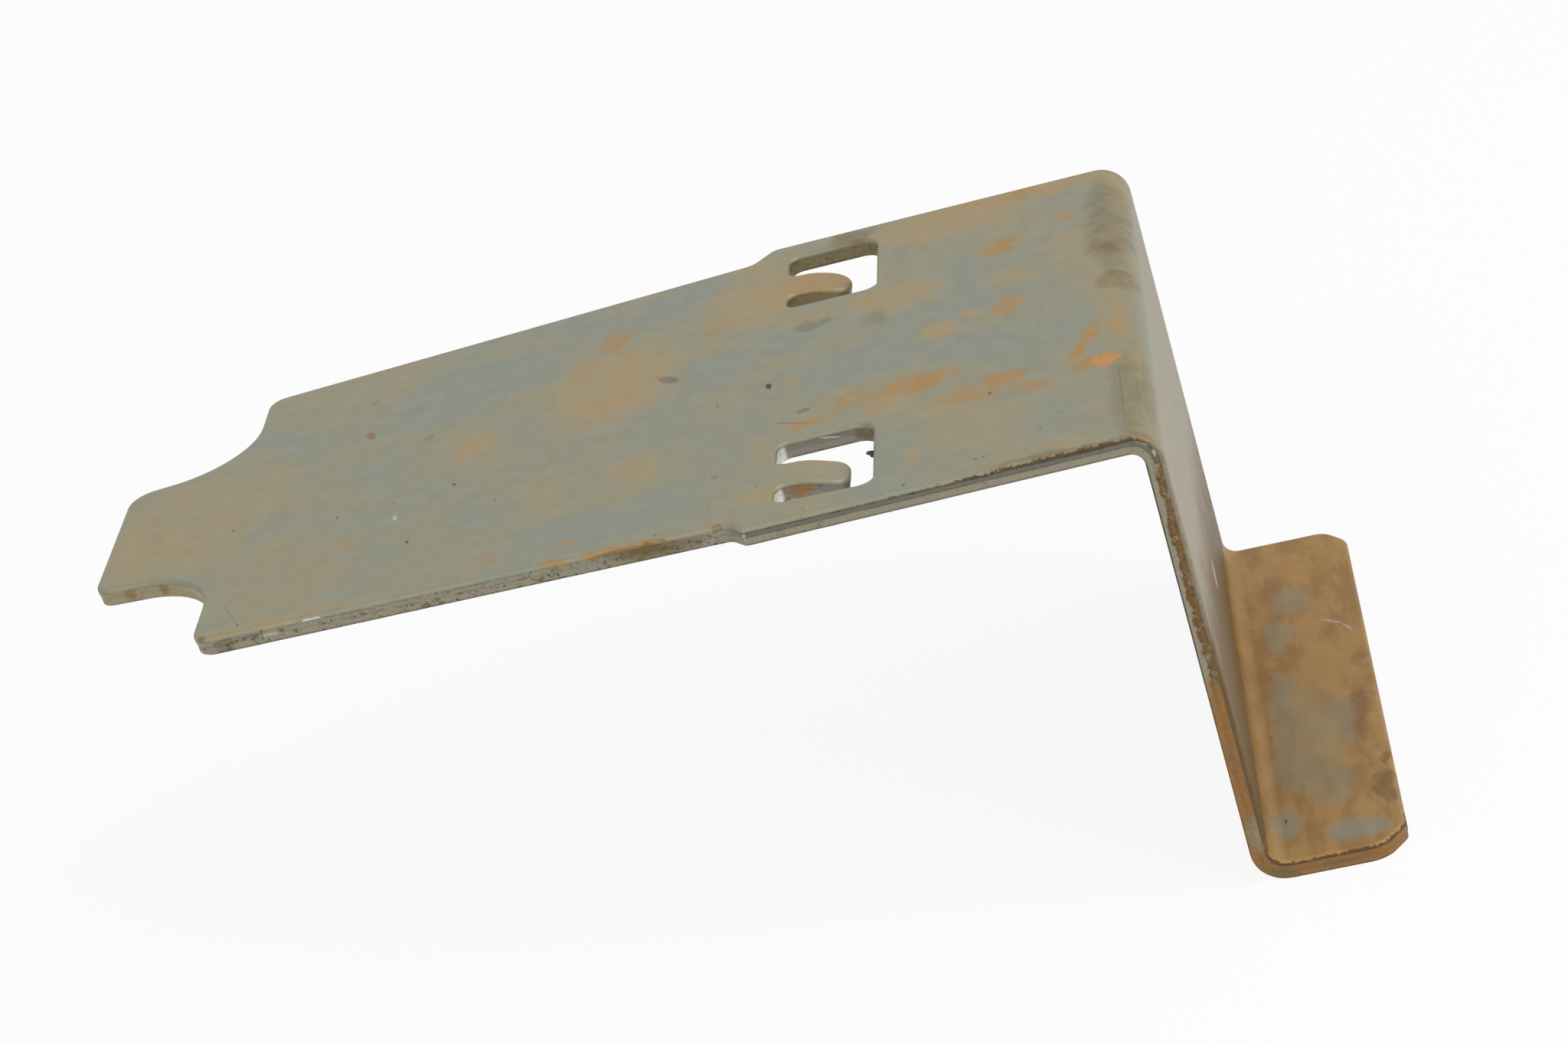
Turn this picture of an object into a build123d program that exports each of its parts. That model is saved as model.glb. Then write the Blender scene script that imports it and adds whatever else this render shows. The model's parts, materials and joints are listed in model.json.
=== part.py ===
from build123d import *
import math
import os

# Stamped sheet bracket: one blank with two lanced tabs, folded twice across its
# width. Millimetres and degrees. +X runs from the tongue to the foot, +Y across
# the width and +Z up, and the origin is the middle of the foot's flat underside.
# The near side is -Y and the far side +Y. Lengths along the sheet are counted
# from the corner that the plate and the web would meet in if it were sharp.

# Sheet
sheet = 1.0                 # thickness
die_roll = 0.25             # radius that the punch leaves along the upper cut edges

# Side view, along the sheet's upper face
plate_reach = 56.9          # to the end of the tongue
web_height = 25.4           # plate's upper face to the foot's upper face
foot_reach = 7.04           # web's outer face to the end of the foot
plate_fold = 90.0           # how far the sheet turns at each fold
foot_fold = 88.6
plate_fold_radius = 0.7     # inside radii
foot_fold_radius = 0.85

# Plan of the plate
width = 35.0                # over the web, the foot and the wide half of the plate
body_reach = 50.05          # to the square shoulders beside the tongue
near_step_at = 20.95        # to the step in each side
far_step_at = 20.4
step_slope = 50.0           # angle between a step and the plate's length
near_step = 0.9             # how far each step sets its side in
far_step = 1.45
near_step_rounds = (0.3, 0.7)       # outer and inner corner of each step
far_step_rounds = (0.8, 0.9)
near_end_inset = 2.15       # how far each side is set in at the shoulders
far_end_inset = 3.9
shoulder_rounds = (1.25, 1.1)       # near and far

# Tongue
tongue_middle = -0.82       # its middle line, from the plate's
tongue_tip_width = 11.45
tongue_root_width = 13.0    # where its sides would meet the shoulders
tongue_rounds = (1.0, 1.6)          # near and far corner of its end
notch_radii = (4.6, 5.0)            # near and far inside radius between tongue and shoulder

# Near and far corner cut off the foot's end
foot_cut_along = (1.3, 1.15)
foot_cut_across = (1.65, 1.5)
foot_side_rounds = (1.7, 1.2)       # where each cut meets the side
foot_end_rounds = (1.0, 1.5)        # where it meets the end

# Windows, the same size on both sides, and the tab in each
window_offset = 12.12       # window's middle from the plate's middle line
window_width = 7.05
window_left = 19.4          # to the ends of the slots beside the tab's root
window_right = 14.3         # to the end that the tab points at
window_rounds = (0.75, 1.1)         # near and far corner of that end
slot_round = 0.7            # corners at the ends of the slots
near_window_lean = 0.3      # how far each window's near side runs in towards its slot
far_window_lean = 0.0
tab_width = 2.4
near_tab_shift = -0.15      # tab's middle from its window's middle
far_tab_shift = -0.4
tab_root = 18.65            # to the line where the tab starts to bend down
tab_drop = 19.0             # angle of its straight end below the plate
tab_fold_radius = 4.6       # of its upper face
near_tab_end = 1.65         # length of its straight end
far_tab_end = 1.4
near_tab_rounds = (0.9, 0.8)        # near and far corner of each tab's end
far_tab_rounds = (1.05, 1.15)


def along(angle):
    # unit vector in the side view, turned up from +X
    return Vector(math.cos(math.radians(angle)), 0, math.sin(math.radians(angle)))


def below(angle):
    # unit vector from the upper face into a sheet that runs at this angle
    return along(angle - 90)


def rounded(points, rounds):
    # flat face with straight sides and a radius at each corner
    face = make_face(Polyline(*points, close=True))
    for point, radius in zip(points, rounds):
        if radius:
            face = fillet(face.vertices().sort_by_distance(point)[0], radius)
    return face


def folded_lines():
    # the sheet's upper and lower lines in the side view
    angles = [0, -plate_fold, foot_fold - plate_fold]
    upper = [Vector(-plate_reach, 0, 0), Vector(0, 0, 0)]
    upper.append(upper[1] + along(angles[1]) * web_height / math.sin(math.radians(plate_fold)))
    upper.append(upper[2] + along(angles[2]) * foot_reach / math.cos(math.radians(angles[2])))
    lower = [upper[0] + below(angles[0]) * sheet]
    for corner, before, after in zip(upper[1:], angles, angles[1:]):
        towards = below(before) + below(after)
        lower.append(corner + towards * (sheet / (1 + below(before).dot(below(after)))))
    lower.append(upper[3] + below(angles[2]) * sheet)
    upper_line = FilletPolyline(*upper, radius=[plate_fold_radius + sheet, foot_fold_radius])
    lower_line = FilletPolyline(*lower, radius=[plate_fold_radius, foot_fold_radius + sheet])
    return upper_line, lower_line


def tab_lines(straight):
    # a tab's upper and lower lines in the side view
    centre = Vector(-tab_root, 0, -tab_fold_radius)
    lines = []
    for radius in (tab_fold_radius, tab_fold_radius - sheet):
        start = centre + along(90) * radius
        middle = centre + along(90 - tab_drop / 2) * radius
        end = centre + along(90 - tab_drop) * radius
        tip = end + along(-tab_drop) * straight
        lines.append(ThreePointArc(start, middle, end) + Line(end, tip))
    return lines


def swept(upper_line, lower_line, middle, across):
    # solid that a side view between two lines fills over part of the width
    ends = [Line(upper_line @ 0, lower_line @ 0), Line(upper_line @ 1, lower_line @ 1)]
    side = make_face([upper_line, lower_line] + ends)
    return extrude(Pos(0, middle, 0) * side, across / 2, dir=(0, 1, 0), both=True)


def plate_outline(foot_end):
    # plan of the whole part, from the foot's near corner round to its far one
    near, far = -width / 2, width / 2
    tip, shoulder = -plate_reach, -body_reach
    slope = math.tan(math.radians(step_slope))
    corners = [
        (foot_end, near + foot_cut_across[0], foot_end_rounds[0]),
        (foot_end - foot_cut_along[0], near, foot_side_rounds[0]),
        (-near_step_at, near, near_step_rounds[0]),
        (-near_step_at - near_step / slope, near + near_step, near_step_rounds[1]),
        (shoulder, near + near_end_inset, shoulder_rounds[0]),
        (shoulder, tongue_middle - tongue_root_width / 2, notch_radii[0]),
        (tip, tongue_middle - tongue_tip_width / 2, tongue_rounds[0]),
        (tip, tongue_middle + tongue_tip_width / 2, tongue_rounds[1]),
        (shoulder, tongue_middle + tongue_root_width / 2, notch_radii[1]),
        (shoulder, far - far_end_inset, shoulder_rounds[1]),
        (-far_step_at - far_step / slope, far - far_step, far_step_rounds[1]),
        (-far_step_at, far, far_step_rounds[0]),
        (foot_end - foot_cut_along[1], far, foot_side_rounds[1]),
        (foot_end, far - foot_cut_across[1], foot_end_rounds[1]),
    ]
    return rounded([Vector(x, y, 0) for x, y, _ in corners], [radius for _, _, radius in corners])


def window_outline(middle, tab_middle, lean):
    # plan of a window: a slot on each side of the tab's root, open to one space
    near, far = middle - window_width / 2, middle + window_width / 2
    tab_near, tab_far = tab_middle - tab_width / 2, tab_middle + tab_width / 2
    near_slot_round = min(slot_round, 0.49 * (tab_near - near - lean))
    far_slot_round = min(slot_round, 0.49 * (far - tab_far))
    corners = [
        (-window_left, near + lean, near_slot_round),
        (-window_right, near, window_rounds[0]),
        (-window_right, far, window_rounds[1]),
        (-window_left, far, far_slot_round),
        (-window_left, tab_far, far_slot_round),
        (-tab_root, tab_far, 0),
        (-tab_root, tab_near, 0),
        (-window_left, tab_near, near_slot_round),
    ]
    return rounded([Vector(x, y, 0) for x, y, _ in corners], [radius for _, _, radius in corners])


def tab(middle, straight, rounds):
    # strip of the sheet that bends down from its root, with rounded end corners
    upper, lower = tab_lines(straight)
    strip = swept(upper, lower, middle, tab_width)
    tip = (upper @ 1 + lower @ 1) / 2
    for side, radius in zip((-1, 1), rounds):
        corner = tip + Vector(0, middle + side * tab_width / 2, 0)
        strip = fillet(strip.edges().sort_by_distance(corner)[0], radius)
    return strip


def upper_rims(body, line):
    # edges where faces on this line of the side view meet the cut walls
    def is_upper(face):
        point = face.position_at(0.5, 0.5)
        return line.distance_to(Vertex(point.X, 0, point.Z)) < sheet / 100

    edges = [edge for face in body.faces() if is_upper(face) for edge in face.edges()]
    return [edge for edge in edges if edges.count(edge) == 1]


def window_rims(body, middle, tab_line):
    # the same edges round one window and along its tab
    plate_line = Line((-window_left, 0, 0), (-tab_root, 0, 0))

    def is_inside(edge):
        point = edge @ 0.5
        in_length = -window_left - sheet / 2 < point.X < -window_right + sheet / 2
        return in_length and abs(point.Y - middle) < (window_width + sheet) / 2

    return [edge for edge in upper_rims(body, plate_line + tab_line) if is_inside(edge)]


upper_line, lower_line = folded_lines()
foot_end = (upper_line @ 1).X
cutter_depth = 2 * (web_height + foot_reach + sheet)

bracket = swept(upper_line, lower_line, 0, 2 * width)
bracket &= extrude(plate_outline(foot_end), cutter_depth, both=True)
bracket = fillet(upper_rims(bracket, upper_line), die_roll)

windows = [
    (-window_offset, near_window_lean, near_tab_shift, near_tab_end, near_tab_rounds),
    (window_offset, far_window_lean, far_tab_shift, far_tab_end, far_tab_rounds),
]
for middle, lean, shift, straight, rounds in windows:
    bracket -= extrude(window_outline(middle, middle + shift, lean), 1.5 * sheet, both=True)
    bracket += tab(middle + shift, straight, rounds)
    bracket = fillet(window_rims(bracket, middle, tab_lines(straight)[0]), die_roll)

# Level the foot, and bring the middle of its flat underside to the origin
foot_dip = plate_fold - foot_fold
flat = lower_line.edges().sort_by_distance(lower_line @ 1)[0]
flat_start, flat_end = flat @ 0, flat @ 1
seat = (flat_start + flat_end) / 2
bracket = Rot(0, -foot_dip, 0) * Pos(-seat) * bracket

print("solids", len(bracket.solids()), "volume", round(bracket.volume, 2), "valid", bracket.is_valid)
print("flat underside of the foot", round((flat_end - flat_start).length, 3), "long")
os.makedirs("parts", exist_ok=True)
export_step(bracket.solids()[0], "parts/bracket.step")
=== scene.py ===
import bpy
import json
import math
import random
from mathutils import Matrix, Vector, noise

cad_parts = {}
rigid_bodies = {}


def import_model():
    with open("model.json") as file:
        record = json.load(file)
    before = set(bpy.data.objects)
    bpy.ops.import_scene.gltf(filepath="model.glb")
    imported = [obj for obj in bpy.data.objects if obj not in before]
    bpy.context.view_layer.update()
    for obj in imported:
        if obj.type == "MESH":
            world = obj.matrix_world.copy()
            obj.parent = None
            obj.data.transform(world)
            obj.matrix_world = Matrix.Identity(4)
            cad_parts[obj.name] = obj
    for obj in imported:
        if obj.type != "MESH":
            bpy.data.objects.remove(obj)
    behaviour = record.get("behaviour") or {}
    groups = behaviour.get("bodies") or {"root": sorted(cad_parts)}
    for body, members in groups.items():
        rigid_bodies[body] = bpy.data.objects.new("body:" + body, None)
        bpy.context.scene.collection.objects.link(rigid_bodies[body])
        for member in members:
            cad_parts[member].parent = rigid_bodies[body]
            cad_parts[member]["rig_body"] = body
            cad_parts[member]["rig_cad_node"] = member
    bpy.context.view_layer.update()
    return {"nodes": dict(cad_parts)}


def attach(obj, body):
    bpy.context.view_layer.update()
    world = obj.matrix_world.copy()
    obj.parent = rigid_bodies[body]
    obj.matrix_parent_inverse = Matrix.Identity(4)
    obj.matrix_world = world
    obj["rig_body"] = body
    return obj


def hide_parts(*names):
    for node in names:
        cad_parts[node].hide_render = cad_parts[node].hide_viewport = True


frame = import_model()
print("frame loaded:", sorted(frame["nodes"]))

# Camera, place in metres and turn in degrees
cameraSetup = {
    "place": (0.00331, -0.19322, 0.11005),
    "turn": (63.744, 14.328, 1.662),
    "lens": 92.285,
    "sensor": 36.0,
    "near": 0.005,
    "far": 10.0,
}


def makeCamera(setup):
    bpy.ops.object.select_all(action="DESELECT")
    turn = [math.radians(angle) for angle in setup["turn"]]
    bpy.ops.object.camera_add(location=setup["place"], rotation=turn)
    camera = bpy.context.object
    camera.name = "benchCamera"
    camera.data.lens = setup["lens"]
    camera.data.sensor_width = setup["sensor"]
    camera.data.clip_start = setup["near"]
    camera.data.clip_end = setup["far"]
    bpy.context.scene.camera = camera


makeCamera(cameraSetup)
print("camera placed")


# Small helpers for node trees: a value is either a socket to link or a constant
def feed(tree, socket, value):
    if isinstance(value, bpy.types.NodeSocket):
        tree.links.new(value, socket)
    else:
        socket.default_value = value


def paint(red, green, blue):
    # colour picked on screen, 0 to 255, as the linear colour that a shader takes
    linear = []
    for part in (red, green, blue):
        part = part / 255
        linear.append(part / 12.92 if part <= 0.04045 else ((part + 0.055) / 1.055) ** 2.4)
    return (*linear, 1.0)


def reckon(tree, operation, first, second=0.0, clamp=False):
    node = tree.nodes.new("ShaderNodeMath")
    node.operation = operation
    node.use_clamp = clamp
    feed(tree, node.inputs[0], first)
    feed(tree, node.inputs[1], second)
    return node.outputs[0]


def blendColour(tree, amount, first, second):
    node = tree.nodes.new("ShaderNodeMix")
    node.data_type = "RGBA"
    feed(tree, node.inputs[0], amount)
    feed(tree, node.inputs[6], first)
    feed(tree, node.inputs[7], second)
    return node.outputs[2]


def ramp(tree, value, start, end, low=0.0, high=1.0):
    node = tree.nodes.new("ShaderNodeMapRange")
    node.interpolation_type = "SMOOTHSTEP"
    feed(tree, node.inputs["Value"], value)
    feed(tree, node.inputs["From Min"], start)
    feed(tree, node.inputs["From Max"], end)
    feed(tree, node.inputs["To Min"], low)
    feed(tree, node.inputs["To Max"], high)
    return node.outputs[0]


def grain(tree, place, scale, detail=3.0, rough=0.5, output="Fac"):
    node = tree.nodes.new("ShaderNodeTexNoise")
    feed(tree, node.inputs["Vector"], place)
    node.inputs["Scale"].default_value = scale
    node.inputs["Detail"].default_value = detail
    node.inputs["Roughness"].default_value = rough
    return node.outputs[output]


def stretched(tree, place, scale):
    node = tree.nodes.new("ShaderNodeMapping")
    feed(tree, node.inputs["Vector"], place)
    node.inputs["Scale"].default_value = scale
    return node.outputs[0]


# Plain white room: pale floor that keeps a soft shadow, even light from all round
roomSetup = {"light": 0.57, "floorSize": 3.0, "floorColour": 0.86, "floorWhite": 0.9}


def seenDirectly(tree):
    # 1 where the camera, a mirror or a glass looks straight at the surface
    rays = tree.nodes.new("ShaderNodeLightPath")
    seen = reckon(tree, "ADD", rays.outputs["Is Camera Ray"], rays.outputs["Is Glossy Ray"])
    return reckon(tree, "ADD", seen, rays.outputs["Is Transmission Ray"], clamp=True)


def makeRoom(setup):
    world = bpy.data.worlds.new("room")
    bpy.context.scene.world = world
    world.use_nodes = True
    tree = world.node_tree
    tree.nodes.clear()
    shades = []
    for strength in (setup["light"], 1.0):
        shade = tree.nodes.new("ShaderNodeBackground")
        shade.inputs["Color"].default_value = (1, 1, 1, 1)
        shade.inputs["Strength"].default_value = strength
        shades.append(shade)
    mix = tree.nodes.new("ShaderNodeMixShader")
    tree.links.new(seenDirectly(tree), mix.inputs[0])
    tree.links.new(shades[0].outputs[0], mix.inputs[1])
    tree.links.new(shades[1].outputs[0], mix.inputs[2])
    out = tree.nodes.new("ShaderNodeOutputWorld")
    tree.links.new(mix.outputs[0], out.inputs["Surface"])


def makeFloor(setup):
    bpy.ops.object.select_all(action="DESELECT")
    bpy.ops.mesh.primitive_plane_add(size=setup["floorSize"], location=(0, 0, 0))
    floor = bpy.context.object
    floor.name = "floor"
    card = bpy.data.materials.new("whiteCard")
    card.use_nodes = True
    floor.data.materials.append(card)
    tree = card.node_tree
    tree.nodes.clear()
    matt = tree.nodes.new("ShaderNodeBsdfDiffuse")
    matt.inputs["Color"].default_value = (*[setup["floorColour"]] * 3, 1)
    glow = tree.nodes.new("ShaderNodeEmission")
    glow.inputs["Strength"].default_value = 1.0
    mix = tree.nodes.new("ShaderNodeMixShader")
    share = reckon(tree, "MULTIPLY", seenDirectly(tree), setup["floorWhite"])
    tree.links.new(share, mix.inputs[0])
    tree.links.new(matt.outputs[0], mix.inputs[1])
    tree.links.new(glow.outputs[0], mix.inputs[2])
    out = tree.nodes.new("ShaderNodeOutputMaterial")
    tree.links.new(mix.outputs[0], out.inputs["Surface"])


makeRoom(roomSetup)
makeFloor(roomSetup)

# Soft boxes: place, what they point at, size in metres, power in watts
lamps = {
    "rightBox": ((0.34, -0.16, 0.34), (-0.02, 0.0, 0.02), 0.40, 1.4),
    "frontBox": ((-0.20, -0.42, 0.30), (-0.02, 0.0, 0.02), 0.35, 0.5),
}


def makeLamp(name, place, aim, size, power):
    bpy.ops.object.light_add(type="AREA", location=place)
    lamp = bpy.context.object
    lamp.name = name
    lamp.data.size = size
    lamp.data.energy = power
    lamp.rotation_euler = (Vector(aim) - Vector(place)).to_track_quat("-Z", "Y").to_euler()


for lampName, (place, aim, size, power) in lamps.items():
    makeLamp(lampName, place, aim, size, power)
print("room and lamps made")

# The sheet's own frame, in millimetres: the plate's upper face is at height 0 and
# the web's outer face at 0 along, so a mark is placed where a rule would find it.
sheetFrame = {"turn": 1.4, "seat": (3.9102, 0.0, -26.4959)}

# Folds and tabs that the depth below the upper face is worked out from
sheetShape = {
    "thick": 1.0,
    "plateFold": 1.7,       # outside radius between plate and web
    "footFold": 0.85,       # inside radius between web and foot
    "tabRoot": -18.65,
    "tabFold": 4.6,
    "tabDrop": 19.0,
    "tabEnd": -15.0,
    "tabHalf": 1.35,
    "tabMiddles": (-12.27, 11.72),
    "tabLowest": -5,        # both tabs lie above this
    "webMiddle": -12,       # above it the upper fold counts, below it the lower one
}


def toSheet(point):
    turn = math.radians(sheetFrame["turn"])
    seat = sheetFrame["seat"]
    x, y, z = point.x * 1000, point.y * 1000, point.z * 1000
    along = x * math.cos(turn) + z * math.sin(turn) + seat[0]
    up = -x * math.sin(turn) + z * math.cos(turn) + seat[2]
    return Vector((along, y, up))


def fromSheet(x, y, z):
    turn = math.radians(sheetFrame["turn"])
    seat = sheetFrame["seat"]
    x, z = x - seat[0], z - seat[2]
    along = x * math.cos(turn) - z * math.sin(turn)
    up = x * math.sin(turn) + z * math.cos(turn)
    return Vector((along, y, up)) / 1000


def corner(across, down, radius):
    # distance outside a corner with its sides rounded off
    outside = math.hypot(max(across, 0), max(down, 0)) + min(max(across, down), 0)
    return outside - radius


def depthBelow(point):
    # how deep in the sheet a point lies, 0 at the upper face and 1 at the lower
    spot = toSheet(point)
    shape = sheetShape
    onTab = any(abs(spot.y - middle) < shape["tabHalf"] for middle in shape["tabMiddles"])
    if onTab and shape["tabRoot"] < spot.x < shape["tabEnd"] and spot.z > shape["tabLowest"]:
        across, up = spot.x - shape["tabRoot"], spot.z + shape["tabFold"]
        drop = math.radians(shape["tabDrop"])
        if math.atan2(across, up) < drop:
            return shape["tabFold"] - math.hypot(across, up)
        return shape["tabFold"] - across * math.sin(drop) - up * math.cos(drop)
    if spot.z > shape["webMiddle"]:
        radius = shape["plateFold"]
        return -corner(spot.x + radius, spot.z + radius, radius)
    radius = shape["footFold"]
    return corner(radius - spot.x, shape["thick"] + radius - point.z * 1000, radius)


# Skin of the bracket: the same form with its cut edges worked up
skinSetup = {
    "merge": 1e-6,
    "flat": 0.4,            # degrees, for joining the cut edge's triangles
    "through": 0.6,         # share of the thickness that a cut face spans at least
    "spacing": 0.25,        # between the cuts along an edge, in millimetres
    "along": (-57, 7),      # what those cuts cover, in the sheet's frame
    "across": (-17.5, 17.5),
    "up": (-25, -1),
    "levels": (0.36, 0.48, 0.54, 0.60, 0.72, 0.86),
    "rim": 0.3,             # depth down to which an edge is left alone
    "tearStart": 0.50,      # depth at which the shear gives way to the tear
    "tearEnd": 0.60,
    "tearStep": 0.028,      # how far the torn part sets back
    "tearRough": 0.042,     # how much further its roughness reaches
    "shearRough": 0.008,
    "coarse": 1.7,          # sizes of the roughness, in bumps per millimetre
    "fine": 5.3,
    "windowAlong": (-20, -14),      # where the windows lie
    "windowAcross": 16.2,
    "windowTear": 0.2,      # share of the tear there
    "smooth": 28.0,         # degrees, for shading smooth
}


def copyOfNode(node, name):
    bpy.ops.object.select_all(action="DESELECT")
    node.select_set(True)
    bpy.context.view_layer.objects.active = node
    bpy.ops.object.duplicate()
    piece = bpy.context.object
    piece.name = name
    piece.parent = None
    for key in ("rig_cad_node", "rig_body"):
        del piece[key]
    return piece


def markCutEdges(mesh, setup):
    # faces that run through the sheet's thickness take the second material slot
    depths = [depthBelow(vertex.co) for vertex in mesh.vertices]
    for face in mesh.polygons:
        span = [depths[index] for index in face.vertices]
        face.material_index = 1 if max(span) - min(span) > setup["through"] else 0


def selectCutEdges(piece):
    bpy.ops.mesh.select_all(action="DESELECT")
    piece.active_material_index = 1
    bpy.ops.object.material_slot_select()


def sliceCutEdges(piece, place, normal):
    selectCutEdges(piece)
    bpy.ops.mesh.bisect(plane_co=place, plane_no=normal)


def steps(start, end, spacing):
    # the middles of equal steps from start to end
    count = int(round((end - start) / spacing))
    return [start + (index + 0.5) * (end - start) / count for index in range(count)]


def divideCutEdges(piece, setup):
    turn = math.radians(sheetFrame["turn"])
    alongPlate = (math.cos(turn), 0, math.sin(turn))
    outOfPlate = (-math.sin(turn), 0, math.cos(turn))
    bpy.ops.object.mode_set(mode="EDIT")
    bpy.ops.mesh.select_mode(type="FACE")
    selectCutEdges(piece)
    bpy.ops.mesh.dissolve_limited(angle_limit=math.radians(setup["flat"]))
    for level in setup["levels"]:
        sliceCutEdges(piece, fromSheet(0, 0, -level), outOfPlate)
        sliceCutEdges(piece, fromSheet(-level, 0, 0), alongPlate)
        sliceCutEdges(piece, (0, 0, (1 - level) / 1000), (0, 0, 1))
    spacing = setup["spacing"]
    for x in steps(*setup["along"], spacing):
        sliceCutEdges(piece, fromSheet(x, 0, 0), alongPlate)
    for y in steps(*setup["across"], spacing):
        sliceCutEdges(piece, (0, y / 1000, 0), (0, 1, 0))
    for z in steps(*setup["up"], spacing):
        sliceCutEdges(piece, fromSheet(0, 0, z), outOfPlate)
    bpy.ops.object.mode_set(mode="OBJECT")


def tearCutEdges(mesh, setup):
    # the lower part of each cut edge is torn: it sets back a little and is rough
    outward = {}
    for face in mesh.polygons:
        if face.material_index == 1:
            for index in face.vertices:
                outward[index] = outward.get(index, Vector()) + face.normal * face.area
    for index, direction in outward.items():
        vertex = mesh.vertices[index]
        depth = depthBelow(vertex.co)
        if direction.length < 1e-12 or depth < setup["rim"]:
            continue
        spot = vertex.co * 1000
        torn = (depth - setup["tearStart"]) / (setup["tearEnd"] - setup["tearStart"])
        torn = min(max(torn, 0.0), 1.0)
        coarse = noise.noise(spot * setup["coarse"]) * 0.5 + 0.5
        fine = noise.noise(spot * setup["fine"]) * 0.5 + 0.5
        back = torn * (setup["tearStep"] + setup["tearRough"] * (0.5 * coarse + 0.5 * fine))
        back += (1 - torn) * setup["shearRough"] * fine
        left, right = setup["windowAlong"]
        if left < toSheet(vertex.co).x < right and abs(spot.y) < setup["windowAcross"]:
            back *= setup["windowTear"]
        vertex.co -= direction.normalized() * back / 1000
        vertex.co.z = max(vertex.co.z, 0.0)


skin = copyOfNode(frame["nodes"]["bracket"], "bracket_skin")
skin.data.materials.clear()
zincFace = bpy.data.materials.new("zincFace")
cutEdge = bpy.data.materials.new("cutEdge")
skin.data.materials.append(zincFace)
skin.data.materials.append(cutEdge)
bpy.ops.object.mode_set(mode="EDIT")
bpy.ops.mesh.select_all(action="SELECT")
bpy.ops.mesh.remove_doubles(threshold=skinSetup["merge"])
bpy.ops.object.mode_set(mode="OBJECT")
markCutEdges(skin.data, skinSetup)
divideCutEdges(skin, skinSetup)
tearCutEdges(skin.data, skinSetup)
print("cut edges divided and torn:", len(skin.data.polygons), "faces")

# Bits of metal that the press left standing: place in the sheet's frame, half sizes,
# turn, and how far each is darker (below 0) or brighter than the sheet, the brighter ones as a painted
# highlight
burrs = [
    ((-14.44, -11.62, -0.36), (0.32, 0.20, 0.12), (0, 20, 30), -0.9),
    ((-14.36, -11.95, -0.34), (0.16, 0.15, 0.10), (0, 10, -20), -0.9),
]
crumbSetup = {
    "count": 16,
    "seed": 7,
    "angles": (8, 86),
    "radius": (1.18, 1.58),
    "across": -17.44,
    "long": (0.04, 0.13),   # half sizes
    "wide": 0.025,
    "thin": (0.015, 0.04),
    "tilt": 25,             # degrees off the fold's own slope
    # how much paler each crumb is painted, as a painted highlight
    "bright": (0.1, 0.7),
}


def scatterCrumbs(setup):
    # flaked plating along the near end of the outer fold, as an arc round the fold's middle
    random.seed(setup["seed"])
    places = []
    fold = sheetShape["plateFold"]
    for _ in range(setup["count"]):
        angle = math.radians(random.uniform(*setup["angles"]))
        radius = random.uniform(*setup["radius"])
        along, up = radius * math.sin(angle) - fold, radius * math.cos(angle) - fold
        place = (along, setup["across"], up)
        halves = (random.uniform(*setup["long"]), setup["wide"], random.uniform(*setup["thin"]))
        turn = math.degrees(angle) + random.uniform(-setup["tilt"], setup["tilt"])
        places.append((place, halves, (0, turn, 0), random.uniform(*setup["bright"])))
    return places


pebble = {"divisions": 3, "radius": 0.001, "knock": 0.00012, "even": 0.2, "outward": 0.6}


def makeBit(place, halves, turn, seed):
    # a pebble of metal, hammered out of round
    bpy.ops.object.select_all(action="DESELECT")
    bpy.ops.mesh.primitive_ico_sphere_add(subdivisions=pebble["divisions"], radius=pebble["radius"])
    bit = bpy.context.object
    bit.data.materials.append(zincFace)
    bpy.ops.object.mode_set(mode="EDIT")
    bpy.ops.mesh.select_all(action="SELECT")
    bpy.ops.transform.vertex_random(
        offset=pebble["knock"], uniform=pebble["even"], normal=pebble["outward"], seed=seed
    )
    bpy.ops.transform.resize(value=halves)
    bpy.ops.object.mode_set(mode="OBJECT")
    bit.rotation_euler = [math.radians(angle) for angle in turn]
    bit.location = fromSheet(*place)
    bpy.ops.object.transform_apply(location=True, rotation=True, scale=True)
    return bit


def addBits(piece, places, firstSeed):
    bits = []
    for index, (place, halves, turn, brightness) in enumerate(places):
        bit = makeBit(place, halves, turn, firstSeed + index)
        mark = bit.data.attributes.new("bright", "FLOAT", "POINT")
        mark.data.foreach_set("value", [brightness] * len(bit.data.vertices))
        bits.append(bit)
    bpy.ops.object.select_all(action="DESELECT")
    for bit in bits + [piece]:
        bit.select_set(True)
    bpy.context.view_layer.objects.active = piece
    bpy.ops.object.join()


def writeFacts(mesh):
    # the finish reads how deep in the sheet each point is
    depth = mesh.attributes.new("depth", "FLOAT", "POINT")
    depth.data.foreach_set("value", [depthBelow(vertex.co) for vertex in mesh.vertices])


crumbSeed, burrSeed = 11, 41
skin.data.attributes.new("bright", "FLOAT", "POINT")
addBits(skin, scatterCrumbs(crumbSetup), crumbSeed)
addBits(skin, burrs, burrSeed)
writeFacts(skin.data)
bpy.ops.object.select_all(action="DESELECT")
skin.select_set(True)
bpy.context.view_layer.objects.active = skin
bpy.ops.object.shade_smooth_by_angle(angle=math.radians(skinSetup["smooth"]))
evener = skin.modifiers.new("evenNormals", "WEIGHTED_NORMAL")
evener.keep_sharp = True
bpy.ops.object.modifier_apply(modifier=evener.name)
print("skin:", len(skin.data.polygons), "faces", len(skin.data.vertices), "points")

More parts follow.
